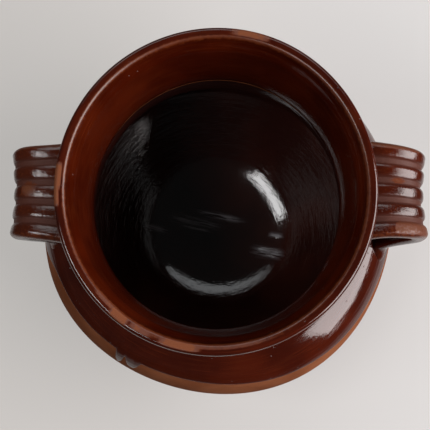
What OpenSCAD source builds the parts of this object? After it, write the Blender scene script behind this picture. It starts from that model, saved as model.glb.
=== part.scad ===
// Two-handled bean pot: a wheel-thrown clay pot with a wide flared collar, two ribbed strap
// handles luted under the rim and on the shoulder, a brown glaze coat dipped over the upper
// half and the inside of the collar, and a dark glaze lining poured into the belly.
// Millimetres, +Z up, origin on the table under the centre of the foot, handles along X.

/* [Body] */
// Height from the table to the top of the lip
pot_h = 164; // [155:1:185]
// Outer radius of the foot where it meets the table
foot_r = 57; // [52:1:64]
// Largest outside radius of the belly
belly_r = 108.5; // [100:0.5:118]
// Height of the widest point of the belly
belly_z = 68; // [60:1:76]
// How far the rounded shoulder reaches inward from the widest point
shoulder_w = 33; // [30:0.5:36]
// Height of the hollow neck between the shoulder and the throat
neck_h = 21; // [17:1:25]
// Thickness of the thrown wall
wall_t = 6; // [4.5:0.5:8]
// Thickness of the floor over the recessed base
floor_t = 6.5; // [5:0.5:9]
// Height over the floor at which the wall starts to flatten into the dished floor
heel_h = 20; // [16:1:24]
// How far the dish reaches across the floor
heel_w = 56; // [48:1:62]

/* [Foot] */
// Depth of the shallow recess under the base
recess_h = 1.5; // [0.5:0.5:3]
// Width of the ring that the pot stands on
ring_w = 11; // [7:1:16]
// Radius of the rounded outer edge of the foot
foot_edge_r = 2.2; // [1:0.2:4]

/* [Collar and rim] */
// Height of the collar, from the throat up to the top of the lip
collar_h = 42; // [36:1:50]
// Outside radius of the throat, the narrowest part of the neck
throat_r = 78.5; // [73:0.5:84]
// Outside radius of the rim bead
rim_r = 88.5; // [86:0.5:94]
// Height of the rim bead
bead_h = 12; // [9:0.5:15]
// How far the rim bead stands out from the collar below it
bead_out = 3.8; // [2:0.2:5]
// Width of the lip, from the outside of the bead to the inner edge
lip_w = 5; // [4.4:0.2:7]

/* [Handles] */
// Width of a strap at its upper end
strap_w = 52.5; // [40:0.5:58]
// Width that a strap loses between its upper and its lower end
strap_taper = 6; // [0:1:10]
// Thickness of a strap between its ribs
strap_t = 7; // [5:0.5:9]
// Number of ribs along a strap
rib_n = 5; // [3:1:7]
// Distance from the outermost ribs' crests to the strap's edges
rib_inset = 4.8; // [4:0.2:6]
// Height of a rib over the grooves beside it
rib_h = 1.6; // [1:0.2:3]
// How much the strap's two edges are raised over its middle
edge_raise = 2.2; // [0:0.2:3]
// Extra width where the strap's ends are smeared onto the wall
root_flare = 6; // [0:1:9]
// How far a handle stands out past the belly
handle_over = 11.6; // [8:0.2:16]
// How much less far the left handle stands out than the right one
left_less = 2.2; // [0:0.2:4]
// Drop from the lip to the middle of the strap's upper end
upper_drop = 19; // [17:0.5:24]
// Drop from the lip to the outermost point of the handle
bend_drop = 38; // [32:1:44]
// Drop from the lip to the middle of the strap's lower end
lower_drop = 74; // [66:1:76]
// Upper end of the right handle, measured towards +Y from the X axis
right_upper_y = 2.2; // [-4:0.2:4]
// Lower end of the right handle, measured the same way
right_lower_y = 0.4; // [-4:0.2:4]
// Upper end of the left handle, measured the same way
left_upper_y = 0; // [-4:0.2:4]
// Lower end of the left handle, measured the same way
left_lower_y = 3; // [-4:0.2:4]

/* [Glaze] */
// Thickness of the fired glaze
glaze_t = 0.6; // [0.4:0.1:1]
// Drop from the lip to the middle of the dipped lower edge of the brown glaze
glaze_drop = 78; // [70:1:84]
// Tilt of that edge, because the pot was dipped by hand
glaze_tilt = 3; // [0:0.5:4]
// Direction in which the tilted edge runs lowest, in degrees from +X
glaze_low_dir = 35; // [0:5:355]
// Length of the longest run below the edge
run_len = 12; // [8:1:14]

/* [Hidden] */
$fn = 96;
clay = "#8a4a2c";
brown_glaze = "#4b1409";
dark_glaze = "#160605";
curve_steps = 12;      // straight pieces in each curve of the profile
hollow_w = 7.5;        // width of the hollow where the shoulder turns up into the neck
bend_steps = 13;       // stations along each half of a handle
section_steps = 40;    // points across the ribbed face of the strap
edge_steps = 3;        // points round each rounded edge of the strap
root_gap = 0.4;        // bare edge left in the glaze round a strap end
upper_sink = 5;        // how deep the strap's upper end runs into the wall before it is trimmed
lower_sink = 9;        // the same at the lower end, which meets the wall at a flatter angle
far = 300;             // larger than the pot, for cutting tools

throat_z = pot_h - collar_h;
bead_z = pot_h - bead_h;
glaze_z = pot_h - glaze_drop;
floor_z = recess_h + floor_t;
lip_r = rim_r - lip_w;
neck_r = rim_r - bead_out;

// Runs of glaze below the dipped edge: [direction in degrees, then length, half width and end radius over run_len]
glaze_runs = [[240.5, 0.8, 0.35, 0.35], [236, 1, 0.18, 0.18], [180, 0.75, 2.5, 0.67], [63, 0.45, 0.42, 0.42],
    [104, 0.26, 0.92, 0.42]];

// n straight pieces of a cubic curve from a to d, with its inner control points b and c
function curve(a, b, c, d, n = curve_steps) =
    [for (i = [0:n]) let (t = i / n, u = 1 - t) u*u*u*a + 3*u*u*t*b + 3*u*t*t*c + t*t*t*d];
function tail(list) = [for (i = [1:len(list) - 1]) list[i]];
function reverse(list) = [for (i = [len(list) - 1:-1:0]) list[i]];
function unit(v) = v / norm(v);
function left_of(v) = [-v.y, v.x];

// Direction of a path at point i, and the path moved sideways to its left by d
function heading(path, i) = unit(path[min(i + 1, len(path) - 1)] - path[max(i - 1, 0)]);
function shifted(path, d) = [for (i = [0:len(path) - 1]) path[i] + d * left_of(heading(path, i))];

// Outside of the belly, from the rounded foot edge up to the widest point
foot_corner = [foot_r + foot_edge_r, foot_edge_r];
belly_rise = belly_z - foot_edge_r;
belly_curve = curve(foot_corner, foot_corner + [belly_rise * 0.35, belly_rise * 0.33],
    [belly_r, belly_z - belly_rise * 0.45], [belly_r, belly_z]);

// Outside of the shoulder: part of an upright oval from the widest point, then a hollow up to the throat
shoulder_h = throat_z - neck_h - belly_z;
shoulder_turn = acos(1 - (belly_r - throat_r - hollow_w) / shoulder_w);
shoulder_arc = [for (i = [0:curve_steps]) let (a = shoulder_turn * i / curve_steps)
    [belly_r - shoulder_w * (1 - cos(a)), belly_z + shoulder_h * sin(a)]];
hollow_start = shoulder_arc[curve_steps];
hollow_end = [throat_r, throat_z - neck_h * 0.55];
hollow_in = unit([-shoulder_w * sin(shoulder_turn), shoulder_h * cos(shoulder_turn)]) * hollow_w * 0.6;
shoulder_curve = concat(shoulder_arc, tail(curve(hollow_start, hollow_start + hollow_in,
    hollow_end - [0, norm(hollow_end - hollow_start) * 0.4], hollow_end, 8)), [[throat_r, throat_z]]);

// Outside of the collar, from the throat up to the rim bead
collar_rise = bead_z - throat_z;
collar_curve = curve([throat_r, throat_z], [throat_r, throat_z + collar_rise * 0.4],
    [neck_r - collar_rise * 0.08, bead_z - collar_rise * 0.35], [neck_r, bead_z]);

// The rim bead, from its underside over the lip to the inner edge
bead_side = [rim_r, pot_h - bead_h * 0.6];
bead_edge = [rim_r, pot_h - bead_h * 0.2];
lip_top = [lip_r + lip_w * 0.36, pot_h];
bead_curve = concat(
    curve([neck_r, bead_z], [neck_r + bead_out * 0.2, bead_z + bead_h * 0.16],
        [rim_r, bead_z + bead_h * 0.1], bead_side, 6),
    curve(bead_edge, bead_edge + [0, bead_h * 0.12], lip_top + [lip_w * 0.4, 0], lip_top, 8));
lip_inside = curve(lip_top, lip_top - [lip_w * 0.26, 0], [lip_r, pot_h - lip_w * 0.2],
    [lip_r - lip_w * 0.16, pot_h - lip_w * 0.65], 6);

// Inside of the pot, one wall thickness in from the outside, with a thick heel under the dished floor
wall_path = concat(belly_curve, tail(shoulder_curve), tail(collar_curve));
inner_wall = reverse([for (p = shifted(wall_path, wall_t)) if (p.y > floor_z + heel_h) p]);
heel_top = inner_wall[len(inner_wall) - 1];
heel_dir = heading(inner_wall, len(inner_wall) - 1);
floor_edge = [heel_top.x - heel_w, floor_z];
heel_curve = curve(heel_top, heel_top + heel_dir * heel_h * 0.5, floor_edge + [heel_w * 0.28, 0], floor_edge);

outside = concat(wall_path, tail(bead_curve));
collar_inside = concat(tail(lip_inside), [for (p = inner_wall) if (p.y > throat_z) p]);
bowl_inside = concat([for (p = inner_wall) if (p.y <= throat_z) p], tail(heel_curve), [[0, floor_z]]);

// Outside radius of the wall at height z
function side_r(z) = lookup(z, [for (p = wall_path) [p.y, p.x]]);

// Recessed base, flat foot ring and rounded outer edge of the foot
foot_outline = concat([[0, recess_h], [foot_r - ring_w, recess_h], [foot_r - ring_w + recess_h, 0]],
    [for (a = [0:15:75]) [foot_r + foot_edge_r * sin(a), foot_edge_r * (1 - cos(a))]]);

module pot_body() {
    color(clay) rotate_extrude() polygon(concat(foot_outline, outside, collar_inside, bowl_inside));
}

// The pot with no hollow, which trims the strap ends to a saddle
module solid_pot() {
    rotate_extrude() polygon(concat([[0, foot_edge_r]], outside, [[0, pot_h]]));
}

// Mid line of a handle in the XZ plane: out from under the rim, round the bend, down to the shoulder
upper_z = pot_h - upper_drop;
lower_z = pot_h - lower_drop;
bend_z = pot_h - bend_drop;
crest_t = strap_t / 2 + rib_h / 2 + edge_raise;   // from the strap's mid line to its highest rib
upper_root = [side_r(upper_z) - upper_sink, upper_z];
lower_root = [side_r(lower_z) - lower_sink, lower_z - lower_sink * 0.85];
function handle_line(over) =
    let (bend = [belly_r + over - crest_t, bend_z], upper_run = bend.x - upper_root.x,
        lower_run = bend.x - lower_root.x)
    concat(
        curve(upper_root, upper_root + [upper_run * 0.62, upper_run * 0.06],
            bend + [0, (upper_z - bend_z) * 0.8], bend, bend_steps),
        tail(curve(bend, bend - [0, (bend_z - lower_z) * 0.3],
            lower_root + [lower_run * 0.45, lower_run * 1.15], lower_root, bend_steps)));
right_line = handle_line(handle_over);
left_line = handle_line(handle_over - left_less);

// Height of the ribbed face over the strap's mid line, at distance u from its centre line
rib_pitch = (strap_w - 2 * rib_inset) / (rib_n - 1);
rib_phase = rib_n % 2 == 1 ? 0 : 180;
function face_h(u) = strap_t / 2 + rib_h / 2 * cos(360 * u / rib_pitch + rib_phase)
    + edge_raise * pow(2 * u / strap_w, 2);

// Outline of the strap: ribbed face, rounded edge, flat back, rounded edge
edge_r = strap_t / 2;
flat_half = strap_w / 2 - edge_r;
edge_top = face_h(flat_half);
edge_c = (edge_top - strap_t / 2) / 2;
edge_h = (edge_top + strap_t / 2) / 2;
function edge_arc(side) =
    [for (i = [1:edge_steps]) let (a = 180 * i / (edge_steps + 1))
        [side * (flat_half + edge_r * sin(a)), edge_c + side * edge_h * cos(a)]];
strap_outline = concat(
    [for (i = [0:section_steps]) let (u = flat_half * (2 * i / section_steps - 1)) [u, face_h(u)]],
    edge_arc(1),
    [for (i = [0:4]) [flat_half * (1 - i / 2), -strap_t / 2]],
    edge_arc(-1));

// Share of the way along the strap at station i, and its width there as a share of strap_w
stations = len(right_line);
function along(i) = i / (stations - 1);
function smooth(t) = t * t * (3 - 2 * t);
function width(i) = 1 - strap_taper / strap_w * smooth(along(i))
    + root_flare / strap_w * pow(abs(2 * along(i) - 1), 8);

module strap(line, upper_y, lower_y) {
    m = len(strap_outline);
    points = [for (i = [0:stations - 1])
        let (p = line[i], n = left_of(heading(line, i)), y = upper_y + (lower_y - upper_y) * along(i))
        for (q = strap_outline) [p.x + q.y * n.x, y + q.x * width(i), p.y + q.y * n.y]];
    sides = [for (i = [0:stations - 2], j = [0:m - 1]) let (a = i * m + j, b = i * m + (j + 1) % m)
        each [[a, b, b + m], [a, b + m, a + m]]];
    caps = [[for (j = [m - 1:-1:0]) j], [for (j = [0:m - 1]) (stations - 1) * m + j]];
    polyhedron(points = points, faces = concat(sides, caps));
}

module right_strap() {
    strap(right_line, right_upper_y, right_lower_y);
}

module left_strap() {
    rotate([0, 0, 180]) strap(left_line, -left_upper_y, -left_lower_y);
}

module right_handle() {
    color(brown_glaze) difference() {
        right_strap();
        solid_pot();
    }
}

module left_handle() {
    color(brown_glaze) difference() {
        left_strap();
        solid_pot();
    }
}

// Height of the tilted edge in direction a
function edge_z(a) = glaze_z - side_r(glaze_z) * tan(glaze_tilt) * cos(a - glaze_low_dir);

// Everything above the dipped edge, with the runs that hang below it
module dipped_zone() {
    translate([0, 0, glaze_z]) rotate([0, glaze_tilt, glaze_low_dir]) cylinder(r = far, h = far);
    for (run = glaze_runs)
        rotate([0, 0, run[0]]) translate([0, 0, edge_z(run[0]) - run_len * run[1]])
            glaze_run(run_len * run[2], run_len * run[3]);
}

module glaze_run(w, r) {
    for (side = [-1, 1])
        translate([0, side * (w - r), r]) rotate([0, 90, 0]) cylinder(r = r, h = far);
    if (w > r)
        translate([0, r - w, 0]) cube([far, 2 * (w - r), far]);
    translate([0, -w, r]) cube([far, 2 * w, far]);
}

module glaze_skin(path) {
    rotate_extrude() polygon(concat(path, reverse(shifted(path, -glaze_t))));
}

// Bare window in the glaze round a strap end, cut along the strap from l1 before its station i to l2 after it
module root_window(line, i, y, l1, l2) {
    p = line[i];
    d = heading(line, i);
    outline = [for (q = strap_outline) [q.x * width(i) + sign(q.x) * root_gap, q.y + sign(q.y) * root_gap]];
    translate([p.x, y, p.y]) rotate([0, -atan2(d.y, d.x), 0]) translate([-l1, 0, 0])
        rotate([90, 0, 90]) linear_extrude(l1 + l2) polygon(outline);
}

module root_windows(line, upper_y, lower_y) {
    difference() {
        root_window(line, 1, upper_y, wall_t * 2, wall_t * 2);
        cylinder(r = side_r(upper_z) - wall_t / 2, h = far);
    }
    root_window(line, stations - 4, lower_y, lower_sink, lower_sink * 3);
}

module outer_glaze() {
    color(brown_glaze) difference() {
        intersection() {
            glaze_skin(concat([for (p = outside) if (p.y > belly_z) p], collar_inside, [bowl_inside[0]]));
            dipped_zone();
        }
        root_windows(right_line, right_upper_y, right_lower_y);
        rotate([0, 0, 180]) root_windows(left_line, -left_upper_y, -left_lower_y);
    }
}

module inner_glaze() {
    color(dark_glaze) glaze_skin(bowl_inside);
}

pot_body();
left_handle();
right_handle();
outer_glaze();
inner_glaze();
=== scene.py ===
import math

import bmesh
import bpy
from mathutils import Matrix, Vector, noise


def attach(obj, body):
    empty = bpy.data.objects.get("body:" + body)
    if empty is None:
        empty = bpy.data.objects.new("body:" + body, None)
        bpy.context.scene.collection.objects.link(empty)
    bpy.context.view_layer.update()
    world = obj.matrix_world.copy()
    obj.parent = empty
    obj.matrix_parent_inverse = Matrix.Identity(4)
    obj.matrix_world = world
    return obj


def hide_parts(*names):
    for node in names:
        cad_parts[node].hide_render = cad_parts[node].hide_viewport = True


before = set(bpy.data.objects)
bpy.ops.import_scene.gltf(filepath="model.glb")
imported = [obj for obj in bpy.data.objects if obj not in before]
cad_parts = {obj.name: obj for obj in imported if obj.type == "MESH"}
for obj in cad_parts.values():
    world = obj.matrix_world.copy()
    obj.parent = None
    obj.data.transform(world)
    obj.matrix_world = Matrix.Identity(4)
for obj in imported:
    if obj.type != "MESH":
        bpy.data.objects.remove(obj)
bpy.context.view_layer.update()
scene = bpy.context.scene
mm = 0.001  # the pot's own sizes are in millimetres, and meshes are in metres


def smooth(t):  # eased step from 0 to 1
    t = min(max(t, 0.0), 1.0)
    return t * t * (3 - 2 * t)


def near(value, centre, reach):  # 1 at the centre, easing to 0 at the reach on either side
    return 1 - smooth(abs(value - centre) / reach)


def upTo(value, end, fade):  # 1 up to the end, easing to 0 over the fade
    return 1 - smooth((value - end) / fade)


def cubic(a, b, c, d, count):  # points of a curve from a to d, drawn towards b and c
    ts = [i / count for i in range(count + 1)]
    return [a * (1 - t) ** 3 + b * 3 * (1 - t) ** 2 * t + c * 3 * (1 - t) * t * t + d * t**3 for t in ts]


def heading(path, i):
    return (path[min(i + 1, len(path) - 1)] - path[max(i - 1, 0)]).normalized()


def moved(path, distance):  # the path moved sideways to its left
    out = []
    for i, p in enumerate(path):
        d = heading(path, i)
        out.append(p + distance * Vector((-d.y, d.x)))
    return out


def turnTo(degrees, centre):  # signed difference of two directions in degrees
    return (degrees - centre + 180) % 360 - 180


pot = {
    "height": 164.0, "wall": 6.0, "turns": 240,
    "footR": 57.0, "footEdge": 2.2, "ringW": 11.0, "recess": 1.5, "underR": 25.0,
    "bellyR": 108.5, "bellyZ": 68.0, "shoulderW": 33.0, "neckH": 21.0, "hollowW": 7.5,
    "collarH": 42.0, "throatR": 78.5, "rimR": 88.5, "beadH": 12.0, "beadOut": 3.8, "lipW": 5.0,
    "floor": 6.5, "flatR": 23.0, "heelH": 34.0,
    "dishKnee": (50.0, 14.2), "dishSlope": 26.0,  # a point of the dished floor inside, and its slope there
    "ovalX": 0.979, "ovalY": 1.012,  # the collar was pressed slightly oval when the handles went on
    "ovalFrom": 96, "ovalFade": 28,
    "lump": 1.2, "lumpCount": 4, "lumpAngle": -62.0,  # soft facets round the belly
    "lumpFrom": 8, "lumpRise": 40, "lumpTo": 84, "lumpFade": 36,
    "wobble": 0.35, "wobbleR": 80,  # the wall is out of true by this much at this radius
}
throatZ = pot["height"] - pot["collarH"]
beadZ = pot["height"] - pot["beadH"]
floorZ = pot["recess"] + pot["floor"]
lipR = pot["rimR"] - pot["lipW"]
neckR = pot["rimR"] - pot["beadOut"]


def wallCurves(bellyCount, shoulderCount, collarCount):  # outside of the clay, from the foot to the bead
    corner = Vector((pot["footR"] + pot["footEdge"], pot["footEdge"]))
    rise = pot["bellyZ"] - pot["footEdge"]
    widest = Vector((pot["bellyR"], pot["bellyZ"]))
    flare = Vector((rise * 0.35, rise * 0.33))
    belly = cubic(corner, corner + flare, widest - Vector((0, rise * 0.45)), widest, bellyCount)
    wide, high = pot["shoulderW"], throatZ - pot["neckH"] - pot["bellyZ"]
    turn = math.acos(1 - (pot["bellyR"] - pot["throatR"] - pot["hollowW"]) / wide)
    angles = [turn * i / shoulderCount for i in range(shoulderCount + 1)]
    shoulder = [widest + Vector((-wide * (1 - math.cos(a)), high * math.sin(a))) for a in angles]
    start, end = shoulder[-1], Vector((pot["throatR"], throatZ - pot["neckH"] * 0.55))
    away = Vector((-wide * math.sin(turn), high * math.cos(turn))).normalized() * pot["hollowW"] * 0.6
    under = end - Vector((0, (end - start).length * 0.4))
    hollow = cubic(start, start + away, under, end, shoulderCount // 2)
    throat = Vector((pot["throatR"], throatZ))
    neck = [end.lerp(throat, i / 6) for i in range(1, 7)]
    up = beadZ - throatZ
    top = Vector((neckR, beadZ))
    lean = Vector((up * 0.08, up * 0.35))
    collar = cubic(throat, throat + Vector((0, up * 0.4)), top - lean, top, collarCount)
    return belly + shoulder[1:] + hollow[1:] + neck + collar[1:]


def beadCurve(count):  # a steep outer side, a tight crest, a top that falls inward, a rounded inner edge
    z, out, high, wide = pot["height"], pot["rimR"], pot["beadH"], pot["lipW"]
    neck = Vector((neckR, beadZ))
    side, edge = Vector((out, z - high * 0.6)), Vector((out, z - high * 0.16))
    crown, shelf = Vector((out - 1.4, z)), Vector((lipR + 1.1, z - 0.3))
    inner = Vector((lipR - wide * 0.16, z - wide * 0.65))
    leaving = neck + Vector((pot["beadOut"] * 0.2, high * 0.16))
    under = cubic(neck, leaving, Vector((out, beadZ + high * 0.1)), side, count)
    steep = [side.lerp(edge, i / 4) for i in range(1, 5)]
    corner = cubic(edge, edge + Vector((0, 1.2)), crown + Vector((0.6, 0)), crown, 7)
    over = cubic(crown, crown + Vector((-0.8, 0)), shelf + Vector((0.8, 0.12)), shelf, count)
    inside = cubic(shelf, shelf - Vector((0.9, 0.14)), inner + Vector((0.35, 1.1)), inner, count)
    return under + steep + corner[1:] + over[1:] + inside[1:]


def innerCurve(step):  # from the lip down to the flat of the floor; a larger step gives fewer points
    inside = moved(wallCurves(180, 60, 48), pot["wall"])
    inside = [p for p in reversed(inside) if p.y > floorZ + pot["heelH"]]
    bead = beadCurve(8)
    leaving, joining = heading(bead, len(bead) - 1), heading(inside, 0)
    link = cubic(bead[-1], bead[-1] + leaving * 2.5, inside[0] - joining * 3, inside[0], 16)
    top, knee, edge = inside[-1], Vector(pot["dishKnee"]), Vector((pot["flatR"], floorZ))
    angle = math.radians(pot["dishSlope"])
    slope = Vector((math.cos(angle), math.sin(angle)))
    upper = cubic(top, top + heading(inside, len(inside) - 1) * 5, knee + slope * 12, knee, 36)
    lower = cubic(knee, knee - slope * 9.6, edge + Vector((9.5, 0)), edge, 36)
    path = link[1:] + inside[1:] + upper[1:] + lower[1:]
    return path[:-1:step] + [edge]


sideTable = [(p.y, p.x) for p in wallCurves(80, 80, 60)]


def sideR(z):  # outside radius of the clay at height z
    for (z0, r0), (z1, r1) in zip(sideTable, sideTable[1:]):
        if z <= z1:
            return r0 + (r1 - r0) * max(0.0, (z - z0) / (z1 - z0))
    return sideTable[-1][1]


stepsPerMm = 4
sideSteps = [sideR(k / stepsPerMm) for k in range(stepsPerMm * int(pot["height"] + 1))]


def sideAt(z):  # the same, looked up in steps
    k = min(max(z * stepsPerMm, 0.0), len(sideSteps) - 1.001)
    i = int(k)
    return sideSteps[i] + (sideSteps[i + 1] - sideSteps[i]) * (k - i)


def handShape(p):  # what the hand did to the turned form: an oval collar and soft facets round the belly
    r = math.hypot(p.x, p.y)
    if r < 1e-6:
        return p
    angle = math.atan2(p.y, p.x)
    collar = smooth((p.z - pot["ovalFrom"]) / pot["ovalFade"])
    belly = smooth((p.z - pot["lumpFrom"]) / pot["lumpRise"]) * upTo(p.z, pot["lumpTo"], pot["lumpFade"])
    facet = pot["lump"] * (math.cos(pot["lumpCount"] * (angle - math.radians(pot["lumpAngle"]))) - 0.5)
    swell = 1 + belly * facet / pot["bellyR"]
    drift = noise.noise(Vector((p.x / r * 1.3, p.y / r * 1.3, p.z / 45)))
    swell *= 1 + pot["wobble"] * drift / pot["wobbleR"]
    ovalX, ovalY = (1 + collar * (pot[key] - 1) for key in ("ovalX", "ovalY"))
    return Vector((p.x * swell * ovalX, p.y * swell * ovalY, p.z))


def spun(name, points, turns, closed, place):  # turned round the axis; place gives each point's spot and wear
    bm = bmesh.new()
    verts = [bm.verts.new((p.x, 0, p.y)) for p in points]
    edges = [bm.edges.new(pair) for pair in zip(verts, verts[1:])]
    if closed:
        edges.append(bm.edges.new((verts[-1], verts[0])))
    bmesh.ops.spin(bm, geom=verts + edges, cent=(0, 0, 0), axis=(0, 0, 1), dvec=(0, 0, 0),
                   angle=2 * math.pi, steps=turns, use_merge=True)
    bmesh.ops.remove_doubles(bm, verts=bm.verts, dist=1e-4)
    wear = bm.verts.layers.float.new("wear")
    for v in bm.verts:
        spot, v[wear] = place(v.co.copy())
        v.co = spot * mm
    bmesh.ops.recalc_face_normals(bm, faces=bm.faces)
    return finished(name, bm)


def finished(name, bm):
    mesh = bpy.data.meshes.new(name)
    bm.to_mesh(mesh)
    bm.free()
    mesh.polygons.foreach_set("use_smooth", [True] * len(mesh.polygons))
    piece = bpy.data.objects.new(name, mesh)
    scene.collection.objects.link(piece)
    return piece


class Sheet:  # a node tree with short calls
    def __init__(self, tree):
        self.tree = tree

    def add(self, kind, **values):
        node = self.tree.nodes.new(kind)
        inputs = values.pop("inputs", {})
        for key, value in values.items():
            setattr(node, key, value)
        for key, value in inputs.items():
            self.plug(value, node.inputs[key])
        return node

    def plug(self, value, socket):
        if isinstance(value, bpy.types.NodeSocket):
            self.tree.links.new(value, socket)
        else:
            socket.default_value = value

    def maths(self, operation, a, b=0.0):
        return self.add("ShaderNodeMath", operation=operation, inputs={0: a, 1: b}).outputs[0]

    def times(self, a, b):
        return self.maths("MULTIPLY", a, b)

    def plus(self, a, b):
        return self.maths("ADD", a, b)

    def most(self, a, b):
        return self.maths("MAXIMUM", a, b)

    def ramp(self, value, low, high, start=0.0, end=1.0):
        return self.add("ShaderNodeMapRange", interpolation_type="SMOOTHSTEP", inputs={
            "Value": value, "From Min": low, "From Max": high, "To Min": start, "To Max": end}).outputs[0]

    def mix(self, factor, a, b):
        return self.add("ShaderNodeMix", data_type="RGBA", inputs={0: factor, 6: a, 7: b}).outputs[2]

    def noise(self, vector, scale, detail, roughness=0.5):
        return self.add("ShaderNodeTexNoise", inputs={
            "Vector": vector, "Scale": scale, "Detail": detail, "Roughness": roughness}).outputs["Fac"]

    def place(self):
        return self.add("ShaderNodeTexCoord").outputs["Object"]

    def axes(self, vector):
        return self.add("ShaderNodeSeparateXYZ", inputs={0: vector}).outputs

    def stretched(self, vector, scales):
        return self.add("ShaderNodeVectorMath", operation="MULTIPLY", inputs={
            0: vector, 1: scales}).outputs[0]

    def mask(self, name):  # an attribute of the mesh
        return self.add("ShaderNodeAttribute", attribute_name=name).outputs["Fac"]


def effect(name, ins, outs):
    group = bpy.data.node_groups.new(name, "ShaderNodeTree")
    for label, value in ins.items():
        socket = group.interface.new_socket(name=label, in_out="INPUT", socket_type="NodeSocketFloat")
        socket.default_value = value
    for label in outs:
        group.interface.new_socket(name=label, in_out="OUTPUT", socket_type="NodeSocketFloat")
    sheet = Sheet(group)
    return group, sheet, sheet.add("NodeGroupInput").outputs, sheet.add("NodeGroupOutput").inputs


def throwingMarksGroup():  # streaks that run round the pot, as a potter's fingers leave them
    group, sheet, ins, outs = effect(
        "throwingMarks", {"Rise": 1.0, "Reach": 0.0, "Pitch": 2.5, "Length": 6.0}, ("Height", "Streak"))
    axes = sheet.axes(sheet.place())
    radius = sheet.maths("SQRT", sheet.plus(sheet.times(axes[0], axes[0]), sheet.times(axes[1], axes[1])))
    safe = sheet.most(radius, 0.004)
    along = sheet.plus(sheet.times(axes[2], ins["Rise"]), sheet.times(radius, ins["Reach"]))
    vector = sheet.add("ShaderNodeCombineXYZ", inputs={
        0: sheet.times(sheet.maths("DIVIDE", axes[0], safe), ins["Length"]),
        1: sheet.times(sheet.maths("DIVIDE", axes[1], safe), ins["Length"]),
        2: sheet.maths("DIVIDE", sheet.times(along, 1000.0), ins["Pitch"])}).outputs[0]
    broad = sheet.noise(vector, 1.0, 2.0, 0.55)
    fine = sheet.noise(sheet.stretched(vector, (1.0, 1.0, 4.0)), 1.0, 2.0, 0.6)
    away = sheet.ramp(radius, 0.012, 0.035)  # no ridges at the very middle of the floor
    sheet.plug(sheet.times(sheet.plus(broad, sheet.times(fine, 0.35)), away), outs["Height"])
    sheet.plug(sheet.times(fine, away), outs["Streak"])
    return group


def poolingGroup():  # uneven glaze: broad clouds, fine mottle and pinholes
    pinholes = 170.0  # to a metre
    group, sheet, ins, outs = effect(
        "glazePooling", {"Cloud Size": 30.0, "Mottle Size": 2.5}, ("Cloud", "Mottle", "Pinhole"))
    place = sheet.place()
    clouds, mottles = (sheet.maths("DIVIDE", 1000.0, ins[key]) for key in ("Cloud Size", "Mottle Size"))
    sheet.plug(sheet.noise(place, clouds, 2.0), outs["Cloud"])
    sheet.plug(sheet.noise(place, mottles, 4.0, 0.6), outs["Mottle"])
    cells = sheet.add("ShaderNodeTexVoronoi", inputs={"Vector": place, "Scale": pinholes})
    sheet.plug(sheet.ramp(cells.outputs["Distance"], 0.05, 0.11, 1.0, 0.0), outs["Pinhole"])
    return group


throwingMarks = throwingMarksGroup()
glazePooling = poolingGroup()


def placed(sheet, group, **values):
    node = sheet.add("ShaderNodeGroup", node_tree=group)
    for key, value in values.items():
        sheet.plug(value, node.inputs[key])
    return node.outputs


def newMaterial(name):
    material = bpy.data.materials.new(name)
    material.use_nodes = True
    sheet = Sheet(material.node_tree)
    return material, sheet, material.node_tree.nodes["Principled BSDF"].inputs


def bumped(sheet, height, distance, below=None):
    node = sheet.add("ShaderNodeBump", inputs={"Height": height, "Distance": distance * mm, "Strength": 1.0})
    if below:
        sheet.plug(below, node.inputs["Normal"])
    return node.outputs[0]


clay = {
    "body": (0.128, 0.039, 0.015, 1), "pale": (0.180, 0.062, 0.027, 1), "dark": (0.085, 0.026, 0.011, 1),
    "rough": 0.8, "shine": 0.04, "grain": 0.05, "ridges": 0.35,
    "marks": {"Rise": 1.0, "Reach": 0.0, "Pitch": 2.2, "Length": 5.0},
}


def bareClay():
    material, sheet, bsdf = newMaterial("bareClay")
    marks = placed(sheet, throwingMarks, **clay["marks"])
    pool = placed(sheet, glazePooling)
    tone = sheet.mix(sheet.ramp(pool["Cloud"], 0.35, 0.7), clay["body"], clay["pale"])
    tone = sheet.mix(sheet.ramp(marks["Streak"], 0.5, 0.75, 0.0, 0.6), tone, clay["dark"])
    tone = sheet.mix(sheet.ramp(pool["Mottle"], 0.6, 0.75, 0.0, 0.5), tone, clay["pale"])
    sheet.plug(tone, bsdf["Base Color"])
    bsdf["Roughness"].default_value = clay["rough"]
    bsdf["Specular IOR Level"].default_value = clay["shine"]
    grain = bumped(sheet, pool["Mottle"], clay["grain"])
    sheet.plug(bumped(sheet, marks["Height"], clay["ridges"], grain), bsdf["Normal"])
    return material


brown = {
    "thick": (0.025, 0.0022, 0.0004, 1), "body": (0.044, 0.0046, 0.0008, 1),
    # the groove colour, greyer than the glaze, is a painted sheen: it stands in for the dull reflection that
    # the strap's grooves catch
    "thin": (0.090, 0.0190, 0.0050, 1), "grooveAndSheen": (0.070, 0.0240, 0.0165, 1),
    "grooveSheenShare": 0.8, "grooveRough": 0.45, "wornRough": 0.38,
    "shine": 0.5, "bareShine": 0.12, "pits": -0.09,
    "marks": {"Rise": 1.0, "Reach": -0.4, "Pitch": 3.0, "Length": 4.0},
    "brownGlaze": {
        "bare": (0.150, 0.046, 0.019, 1), "ragged": 0.5, "streaks": 0.22, "lift": 0.0,
        "rough": 0.065, "peelSize": 2.5, "peel": 0.05, "ridges": 0.14},
    "brownGlazeOnStrap": {
        "bare": (0.100, 0.032, 0.015, 1), "ragged": 0.9, "streaks": 0.1, "lift": 0.05,
        "rough": 0.02, "peelSize": 1.3, "peel": 0.15, "ridges": 0.05},
    "roughBrownGlazeOnStrap": {
        "bare": (0.120, 0.038, 0.017, 1), "ragged": 0.9, "streaks": 0.1, "lift": 0.25,
        "rough": 0.05, "peelSize": 1.8, "peel": 0.26, "ridges": 0.05},
}


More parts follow.
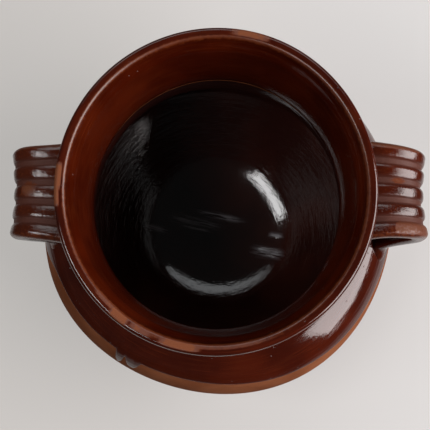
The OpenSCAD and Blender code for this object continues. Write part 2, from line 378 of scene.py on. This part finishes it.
def brownGlaze(name):
    facts = brown[name]
    material, sheet, bsdf = newMaterial(name)
    marks = placed(sheet, throwingMarks, **brown["marks"])
    pool = placed(sheet, glazePooling, **{"Mottle Size": facts["peelSize"]})
    wear, grooveAndSheen = sheet.mask("wear"), sheet.mask("grooveAndSheen")
    grooveSheenMask = sheet.times(grooveAndSheen, brown["grooveSheenShare"])
    ragged = sheet.plus(wear, sheet.times(sheet.maths("SUBTRACT", pool["Mottle"], 0.5), facts["ragged"]))
    bare = sheet.ramp(ragged, 0.6, 0.68)
    streak = sheet.ramp(marks["Streak"], 0.45, 0.8, facts["lift"], facts["lift"] + facts["streaks"])
    tone = sheet.mix(sheet.ramp(pool["Cloud"], 0.3, 0.7), brown["thick"], brown["body"])
    tone = sheet.mix(streak, tone, brown["thin"])
    # painted sheen: the grooves are tinted greyer where they would reflect the room
    tone = sheet.mix(grooveSheenMask, tone, brown["grooveAndSheen"])
    tone = sheet.mix(sheet.ramp(ragged, 0.2, 0.5), tone, brown["thin"])
    sheet.plug(sheet.mix(bare, tone, facts["bare"]), bsdf["Base Color"])
    rough = sheet.plus(sheet.times(pool["Cloud"], 0.06), facts["rough"])
    rough = sheet.plus(rough, sheet.times(grooveAndSheen, brown["grooveRough"]))
    rough = sheet.plus(rough, sheet.ramp(wear, 0.15, 0.6, 0.0, brown["wornRough"]))
    sheet.plug(rough, bsdf["Roughness"])
    shine = sheet.ramp(sheet.most(bare, grooveSheenMask), 0.0, 1.0, brown["shine"], brown["bareShine"])
    sheet.plug(shine, bsdf["Specular IOR Level"])
    peel = bumped(sheet, pool["Mottle"], facts["peel"])
    pits = bumped(sheet, pool["Pinhole"], brown["pits"], peel)
    sheet.plug(bumped(sheet, marks["Height"], facts["ridges"], pits), bsdf["Normal"])
    return material


dark = {
    "body": (0.0140, 0.0038, 0.0030, 1), "thin": (0.0230, 0.0052, 0.0034, 1), "peel": 0.05, "ridges": 0.08,
    "marks": {"Rise": 1.0, "Reach": 1.0, "Pitch": 3.5, "Length": 5.0},
    # the pale streak tone is a painted reflection: streaks on the dark floor coloured as if they caught the
    # light
    "streakSheenTone": (0.240, 0.225, 0.238, 1), "wipeTurn": 12.0,
    "sheenStreaks": [  # streaks left by the wiping hand, whose pale tone is a painted reflection; two also stand as ridges: place, half length, half width and height
        (-18.0, 5.4, 14, 2.6, 0.0),
        (-2.7, 12.5, 14, 1.6, 0.0),
        (-16.0, 1.0, 9, 1.0, 0.0),
        (34.3, -5.3, 9, 2.6, 0.5),
        (37.4, 6.9, 4, 1.6, 0.14),
        (-42.9, -5.0, 7, 1.6, 0.0),
    ],
}


def streakSheenAndRidges(sheet):  # how much of the floor gets the pale painted reflection of the streaks, and how high two of the streaks stand
    along = sheet.add("ShaderNodeVectorRotate", rotation_type="Z_AXIS", inputs={
        "Vector": sheet.place(), "Angle": math.radians(dark["wipeTurn"])}).outputs[0]
    axes = sheet.axes(along)
    ridge, sheenStreaks = 0.0, 0.0
    for x, y, long, wide, high in dark["sheenStreaks"]:
        a = sheet.times(sheet.maths("SUBTRACT", axes[0], x * mm), 1 / (long * mm))
        b = sheet.times(sheet.maths("SUBTRACT", axes[1], y * mm), 1 / (wide * mm))
        away = sheet.plus(sheet.maths("POWER", sheet.maths("ABSOLUTE", a), 4.0), sheet.times(b, b))
        spot = sheet.maths("EXPONENT", sheet.times(away, -1.0))
        sheenStreaks = sheet.most(spot, sheenStreaks)
        if high:
            ridge = sheet.plus(sheet.times(spot, high), ridge)
    low = sheet.ramp(axes[2], 0.016, 0.020, 1.0, 0.0)  # on the floor, not on the wall
    broken = sheet.ramp(sheet.noise(sheet.stretched(along, (60.0, 700.0, 0.0)), 1.0, 3.0, 0.6), 0.38, 0.60)
    return sheet.times(sheet.times(sheenStreaks, broken), low), sheet.times(ridge, low)


def darkGlaze():
    material, sheet, bsdf = newMaterial("darkGlaze")
    marks = placed(sheet, throwingMarks, **dark["marks"])
    pool = placed(sheet, glazePooling)
    sheenStreaks, ridge = streakSheenAndRidges(sheet)
    tone = sheet.mix(sheet.ramp(pool["Cloud"], 0.4, 0.75), dark["body"], dark["thin"])
    # painted reflection: the streaks are painted pale on the dark floor
    sheet.plug(sheet.mix(sheenStreaks, tone, dark["streakSheenTone"]), bsdf["Base Color"])
    sheet.plug(sheet.ramp(pool["Cloud"], 0.35, 0.75, 0.05, 0.11), bsdf["Roughness"])
    raised = bumped(sheet, ridge, 1.0, bumped(sheet, pool["Mottle"], dark["peel"]))
    sheet.plug(bumped(sheet, marks["Height"], dark["ridges"], raised), bsdf["Normal"])
    return material


def potProfile():  # from under the foot up the wall, over the lip and down to the floor inside
    ringR, edge = pot["footR"] - pot["ringW"], pot["footEdge"]
    foot = [Vector((r, pot["recess"])) for r in (0, pot["underR"], ringR)]
    foot.append(Vector((ringR + pot["recess"], 0)))
    for degrees in range(0, 76, 15):
        a = math.radians(degrees)
        foot.append(Vector((pot["footR"] + edge * math.sin(a), edge * (1 - math.cos(a)))))
    return foot + wallCurves(64, 22, 14) + beadCurve(5)[1:] + innerCurve(6) + [Vector((0, floorZ))]


def clayPlace(co):
    return handShape(co), 0.0


potWall = spun("thrownWall", potProfile(), pot["turns"], False, clayPlace)
print("thrown wall", len(potWall.data.polygons))

coat = {
    "thickness": 0.6, "overlap": 0.15, "edgeRound": 1.3, "turns": 300, "start": 72.0, "join": 99.0,
    "middle": 82.6, "tilt": 3.0, "lowDirection": 35.0, "wobble": 0.7,  # the dipped edge
    "runs": [  # direction, length and half width
        (240.5, 9.0, 4.4),
        (235.8, 11.5, 2.6),
        (180, 9.0, 30),
        (63, 5.4, 5),
        (104, 3.2, 11),
        (151, 4.5, 6),
        (14, 3.5, 9),
    ],
    "crowd": 0.6, "crowdAt": 238.0, "crowdWidth": 14.0,  # the mesh is finer at the two narrow runs
}


def glazeEdge(degrees):  # height of the glaze's lower edge in a direction
    slant = pot["bellyR"] * math.tan(math.radians(coat["tilt"]))
    z = coat["middle"] - slant * math.cos(math.radians(degrees - coat["lowDirection"]))
    a = math.radians(degrees)
    z += coat["wobble"] * noise.noise(Vector((math.cos(a) * 3, math.sin(a) * 3, 0.5)))
    drop = 0.0
    for direction, length, half in coat["runs"]:
        d = math.radians(turnTo(degrees, direction)) * pot["bellyR"] / half
        drop = max(drop, length * math.exp(-(abs(d) ** 4)))
    return z - drop


def backOf(path, step, last):  # the coat's hidden side, coarser, and sunk a little into the clay
    back = moved(path, coat["overlap"])
    return [p for i, p in enumerate(reversed(back)) if i % step == 0 or i > len(back) - last]


def coatProfile():
    outside = [p for p in wallCurves(60, 70, 44) if p.y > coat["start"]]
    inside = [p for p in innerCurve(2) if p.y > throatZ - 0.8]
    path = outside + beadCurve(12)[1:] + inside
    front = moved(path, -coat["thickness"])
    run = 0.0
    for i, p in enumerate(path):  # the coat thins to a rounded edge
        run += (p - path[i - 1]).length if i else 0.0
        share = min(run / coat["edgeRound"], 1.0)
        front[i] = p + (front[i] - p) * math.sqrt(1 - (1 - share) ** 2)
    return front + backOf(path, 3, 4)


def coatPlace(co):
    r = math.hypot(co.x, co.y)
    degrees = math.degrees(math.atan2(co.y, co.x))
    d = turnTo(degrees, coat["crowdAt"])
    degrees -= coat["crowd"] * d * math.exp(-((d / coat["crowdWidth"]) ** 2))
    z = co.z
    if z < coat["join"]:  # below this the coat is drawn down to its edge
        edge = glazeEdge(degrees)
        t = max(0.0, (z - coat["start"]) / (coat["join"] - coat["start"]))
        off = r - sideAt(z)
        z = edge + (coat["join"] - edge) * t
        r = sideAt(z) + off
    a = math.radians(degrees)
    return handShape(Vector((r * math.cos(a), r * math.sin(a), z))), lipWear(degrees % 360, r, z)


lip = {
    "wearH": 9, "outer": 0.13, "inner": 0.31, "innerR": 83.7, "innerW": 1.9,
    "patches": [  # where the glaze broke thin: direction, half width, strength, inner and outer radius
        (176, 5, 0.95, 85.5, 89.5),
        (183, 4, 0.9, 86.5, 89.5),
        (227, 8, 0.6, 83, 85.5),
        (233, 4, 0.95, 84, 88),
        (242, 5, 0.6, 84, 87),
        (257, 8, 0.8, 84, 87.6),
        (77, 8, 0.7, 85, 89.5),
        (200, 36, 0.32, 82.5, 84.0),
        (268, 32, 0.43, 83, 86),
    ],
}


def lipWear(degrees, r, z):
    start = pot["height"] - lip["wearH"]
    if z < start:
        return 0.0
    high = smooth((z - start) / 5)
    wear = lip["outer"] * high + lip["inner"] * high * near(r, lip["innerR"], lip["innerW"])
    for direction, half, strength, low, top in lip["patches"]:
        d = abs(turnTo(degrees, direction)) / half
        across = smooth((r - low + 1) / 1.5) * smooth((top + 1 - r) / 1.5)
        wear = max(wear, strength * high * across * upTo(d, 0.4, 1))
    return wear


glazeCoat = spun("brownGlazeCoat", coatProfile(), coat["turns"], True, coatPlace)
print("brown glaze", len(glazeCoat.data.polygons))

darkCoat = {"turns": 224, "topShare": 0.3}  # as thick as the brown coat, and this share of it at the top


def liningProfile():
    path = [p for p in innerCurve(2) if p.y < throatZ + 0.5]
    path += [Vector((pot["flatR"] * (k / 10), floorZ)) for k in range(9, -1, -1)]
    front = moved(path, -coat["thickness"])
    front[-1].x = 0
    front[0] = path[0] + (front[0] - path[0]) * darkCoat["topShare"]
    back = backOf(path, 4, 3)
    back[0].x = 0
    return front + back


lining = spun("darkGlazeLining", liningProfile(), darkCoat["turns"], False, clayPlace)
print("dark lining", len(lining.data.polygons))

strap = {
    "width": 52.5, "taper": 6.0, "flare": 6.0, "thick": 7.0, "around": 170, "along": 120,
    "ribs": 5, "ribInset": 4.8, "ribHeight": 1.6, "ribShare": 0.37, "edgeRaise": 2.2, "backBow": 0.35,
    "upperDrop": 19.0, "bendDrop": 38.0, "lowerDrop": 74.0, "upperSink": 5.0, "lowerSink": 9.0,
    "smear": 1.5, "smearReach": 4.0, "frontSmear": 7.0,  # clay smeared onto the wall at the joints
    "faceUneven": 0.45, "edgeUneven": 0.5,
}
handles = {
    "rightHandle": {
        "side": 1, "over": 11.0, "out": (0.62, 0.06),
        "upperY": 2.2, "lowerY": 0.4, "deep": 1.05, "seed": 3.0},
    "leftHandle": {
        "side": -1, "over": 8.8, "out": (0.86, 0.20),
        "upperY": 0.0, "lowerY": 4.2, "deep": 0.7, "seed": 11.0},
}
crest = strap["thick"] / 2 + strap["ribHeight"] / 2 + strap["edgeRaise"]


def strapLine(over, out, count):  # the strap's mid line seen from the side, from the collar to the shoulder
    upperZ, lowerZ, bendZ = (pot["height"] - strap[k] for k in ("upperDrop", "lowerDrop", "bendDrop"))
    bendR = pot["bellyR"] + over - crest
    upper = Vector((sideAt(upperZ) - strap["upperSink"], upperZ))
    lower = Vector((sideAt(lowerZ) - strap["lowerSink"], lowerZ - strap["lowerSink"] * 0.85))
    bend = Vector((bendR, bendZ))
    run, back = bendR - upper.x, bendR - lower.x
    leaving = upper + Vector((run * out[0], run * out[1]))
    first = cubic(upper, leaving, bend + Vector((0, (upperZ - bendZ) * 0.8)), bend, count)
    joining = lower + Vector((back * 0.45, back * 1.15))
    second = cubic(bend, bend - Vector((0, (bendZ - lowerZ) * 0.3)), joining, lower, count)
    return first + second[1:]


def ribAt(u):  # 1 along the broad flat top of a rib, 0 in the groove beside it
    pitch = (strap["width"] - 2 * strap["ribInset"]) / (strap["ribs"] - 1)
    d = abs((u / pitch + 0.5) % 1.0 - 0.5) / strap["ribShare"]
    return max(0.0, 1 - min(d, 1.0) ** 3.4) ** 0.8


def faceAt(u, deep):  # height of the ribbed face over the strap's mid line
    ribs = strap["ribHeight"] * deep * (ribAt(u) - 0.5)
    return strap["thick"] / 2 + ribs + strap["edgeRaise"] * (2 * u / strap["width"]) ** 2


def strapSection(w, deep):  # at share w of the way round: across the strap, out from its mid line, groove
    edgeR = strap["thick"] / 2
    half = strap["width"] / 2 - edgeR
    if w < 0.6:  # the face
        u = half * (2 * w / 0.6 - 1)
        return u, faceAt(u, deep), 1 - ribAt(u)
    if 0.7 <= w < 0.9:  # the back
        u = half * (1 - 2 * (w - 0.7) / 0.2)
        return u, -strap["thick"] / 2 + strap["backBow"] * (1 - (u / half) ** 2), 0.0
    side = 1 if w < 0.7 else -1  # one of the two rounded edges
    a = math.pi * ((w - 0.6) / 0.1) if side > 0 else math.pi * ((w - 0.9) / 0.1) + math.pi
    top = faceAt(half, deep)
    middle, height = (top - strap["thick"] / 2) / 2, (top + strap["thick"] / 2) / 2
    return side * half + edgeR * math.sin(a), middle + height * math.cos(a), 0.0


def strapPoint(facts, line, s, u, h):  # share s of the way along, u across, h out from the mid line
    last = len(line) - 1
    k = min(s * last, last - 1e-6)
    i = int(k)
    mid = line[i].lerp(line[i + 1], k - i)
    d = heading(line, i).lerp(heading(line, i + 1), k - i).normalized()
    width = 1 - strap["taper"] / strap["width"] * smooth(s) + strap["flare"] / strap["width"] * (1 - s) ** 12
    y = facts["upperY"] + (facts["lowerY"] - facts["upperY"]) * s
    spread = strap["frontSmear"] * smooth((s - 0.89) / 0.1) * smooth(-u / 20)
    p = Vector((mid.x - h * d.y, y + u * width - spread, mid.y + h * d.x))
    gap = math.hypot(p.x, p.y) - sideAt(p.z)
    if gap < strap["smearReach"]:
        outer = smooth((h + strap["thick"] / 2) / strap["thick"])
        fade = (1 - max(gap, 0) / strap["smearReach"]) ** 2
        p += (p - Vector((mid.x, y, mid.y))).normalized() * strap["smear"] * outer * fade
    return Vector((facts["side"] * p.x, p.y, p.z))


def makeHandle(name, facts):
    line = strapLine(facts["over"], facts["out"], 60)
    bm = bmesh.new()
    bmesh.ops.create_grid(bm, x_segments=strap["along"], y_segments=strap["around"], size=0.5)
    wear, grooveAndSheen = bm.verts.layers.float.new("wear"), bm.verts.layers.float.new("grooveAndSheen")
    for v in bm.verts:
        s, w = v.co.x + 0.5, (v.co.y + 0.5) % 1.0
        u, h, v[grooveAndSheen] = strapSection(w, facts["deep"])
        h += noise.noise(Vector((u / 9, s * 7, facts["seed"]))) * strap["faceUneven"] if w < 0.6 else 0.0
        u += noise.noise(Vector((h / 9, s * 5, facts["seed"] + 4))) * strap["edgeUneven"]
        v[wear] = handleWear(facts, u, s)
        v.co = strapPoint(facts, line, s, u, h) * mm
    bmesh.ops.remove_doubles(bm, verts=bm.verts, dist=1e-6)
    bmesh.ops.holes_fill(bm, edges=[e for e in bm.edges if e.is_boundary])
    bmesh.ops.recalc_face_normals(bm, faces=bm.faces)
    piece = finished(name, bm)
    print(name, len(piece.data.polygons))
    return piece


def handleWear(facts, u, s):  # thin glaze on the ribs and edges, and places that broke bare
    wear = max(0.2 * ribAt(u), 0.36 * smooth((abs(u) - 21) / 4)) * upTo(s, 0.5, 0.2)
    if facts["side"] > 0:
        front = near(u, -21.5, 6) * smooth((s - 0.14) / 0.06) * upTo(s, 0.44, 0.06)
        wear = max(wear, 0.66 * smooth(front * 1.5), 0.7 * near(u, 24, 3) * upTo(s, 0.3, 0.1))
        return max(wear, 0.75 * near(u, 5.5, 3) * near(s, 0.2, 0.07))
    patch = near(u, 1.5, 7) * near(s, 0.21, 0.09)
    return max(wear, 0.85 * patch, 0.6 * near(u, 25, 3) * upTo(s, 0.3, 0.1))


pieces = {name: makeHandle(name, facts) for name, facts in handles.items()}

for piece, material, node, slot in (
    (potWall, bareClay(), "pot_body", "bare_clay"),
    (glazeCoat, brownGlaze("brownGlaze"), "outer_glaze", "brown_glaze"),
    (lining, darkGlaze(), "inner_glaze", "dark_glaze"),
    (pieces["rightHandle"], brownGlaze("brownGlazeOnStrap"), "right_handle", "brown_glaze"),
    (pieces["leftHandle"], brownGlaze("roughBrownGlazeOnStrap"), "left_handle", "brown_glaze"),
):
    piece.data.materials.append(material)
    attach(piece, "root")
    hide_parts(node)
print("materials done")

studio = {
    # the left end of the paper's colour is darker: painted shade on the side away from the window
    "floor": 4.0, "paper": (0.625, 0.612, 0.603, 1), "shadedLeftPaper": (0.560, 0.540, 0.520, 1), "glow": 0.56,
    "paperEnds": (0.20, 0.34), "world": 0.055, "aim": (0, 0, 0.12),
    "lamps": {  # places and sizes in metres, like the floor's
        "window": {"at": (1.80, -0.385, 0.93), "size": (2.3, 1.5), "power": 95.0, "colour": (1, 0.94, 0.93)},
        "leftWindow": {"at": (-1.04, -0.47, 1.88), "size": (1.15, 0.42), "power": 22.0, "colour": (1, 1, 1)},
        "backWall": {"at": (0.0, 1.6, 1.9), "size": (2.3, 1.1), "power": 18.0, "colour": (0.95, 0.98, 1)},
    },
    "cameraAt": (9.1, -121.4, 734.0), "lens": 91.03, "sensor": 36.0,  # in millimetres
    "pitch": 10.54, "yaw": 0.93,  # in degrees
}

bm = bmesh.new()
bmesh.ops.create_grid(bm, x_segments=1, y_segments=1, size=studio["floor"])
table = finished("paleFloor", bm)


def palePaper():  # a sheet that glows a little; in reflections it ends a hand's width beyond the picture
    material, sheet, bsdf = newMaterial("palePaper")
    place = sheet.place()
    away = sheet.add("ShaderNodeVectorMath", operation="LENGTH", inputs={0: place}).outputs["Value"]
    within = sheet.ramp(away, *studio["paperEnds"], 1.0, 0.06)
    ray = sheet.add("ShaderNodeLightPath").outputs
    shown = sheet.add("ShaderNodeMix", data_type="FLOAT", inputs={
        0: ray["Is Glossy Ray"], 2: 1.0, 3: within}).outputs[0]
    seen = sheet.most(ray["Is Camera Ray"], sheet.most(ray["Is Glossy Ray"], ray["Is Transmission Ray"]))
    side = sheet.axes(place)[0]
    # painted shade: the paper is painted darker towards the left
    paper = sheet.mix(sheet.ramp(side, -0.16, 0.16), studio["shadedLeftPaper"], studio["paper"])
    glow = studio["glow"]
    sheet.plug(sheet.mix(sheet.times(shown, 1 - glow), (0, 0, 0, 1), paper), bsdf["Base Color"])
    bsdf["Roughness"].default_value = 0.9
    bsdf["Specular IOR Level"].default_value = 0.0
    sheet.plug(paper, bsdf["Emission Color"])
    sheet.plug(sheet.times(sheet.times(shown, seen), glow), bsdf["Emission Strength"])
    return material


table.data.materials.append(palePaper())

world = bpy.data.worlds.new("studioWorld")
world.use_nodes = True
world.node_tree.nodes["Background"].inputs["Color"].default_value = (1, 1, 1, 1)
world.node_tree.nodes["Background"].inputs["Strength"].default_value = studio["world"]
scene.world = world

for name, facts in studio["lamps"].items():
    lamp = bpy.data.lights.new(name, "AREA")
    lamp.shape = "RECTANGLE"
    lamp.size, lamp.size_y = facts["size"]
    lamp.energy = facts["power"]
    lamp.color = facts["colour"]
    holder = bpy.data.objects.new(name, lamp)
    holder.location = facts["at"]
    aim = Vector(studio["aim"]) - Vector(facts["at"])
    holder.rotation_euler = aim.to_track_quat("-Z", "Y").to_euler()
    scene.collection.objects.link(holder)

lens = bpy.data.cameras.new("camera")
lens.lens, lens.sensor_width = studio["lens"], studio["sensor"]
lens.clip_start = 0.01
camera = bpy.data.objects.new("camera", lens)
pitch = Matrix.Rotation(math.radians(studio["pitch"]), 4, "X")
yaw = Matrix.Rotation(math.radians(studio["yaw"]), 4, "Y")
camera.matrix_world = Matrix.Translation(Vector(studio["cameraAt"]) * mm) @ (pitch @ yaw)
scene.collection.objects.link(camera)
scene.camera = camera
scene.view_settings.view_transform = "Standard"
print("studio done")
